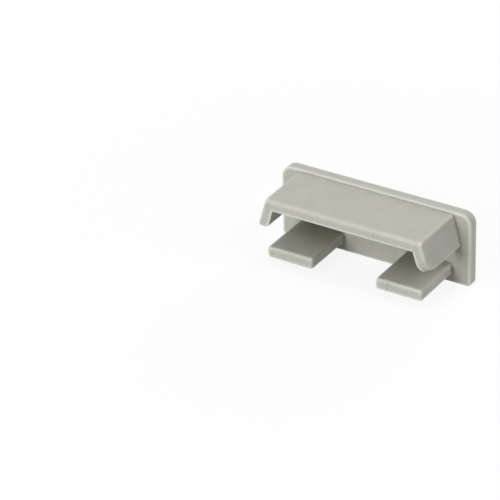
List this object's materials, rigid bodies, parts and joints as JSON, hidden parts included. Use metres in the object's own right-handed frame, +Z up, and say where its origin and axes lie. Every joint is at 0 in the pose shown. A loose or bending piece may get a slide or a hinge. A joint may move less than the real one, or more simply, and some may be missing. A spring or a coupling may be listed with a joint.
{
  "type": "profile end cap",
  "caption": "Rectangular end cap for a flat extruded profile: bevelled face plate with a splayed channel-shaped plug above and flat tongues below, of moulded plastic.",
  "frame": {"origin": "middle of the plate's back face, the plane that the cut end of the profile meets", "axes": "+X along the plate, +Y out of the back of the plate into the profile, +Z up, from the tongues' side to the hood's roof"},
  "size_m": [0.03, 0.0112, 0.011],
  "materials": {
    "moulded_plastic": "light warm grey, fine matte mould texture"
  },
  "bodies": {
    "root": {"end_cap": "moulded_plastic"}
  },
  "joints": []
}
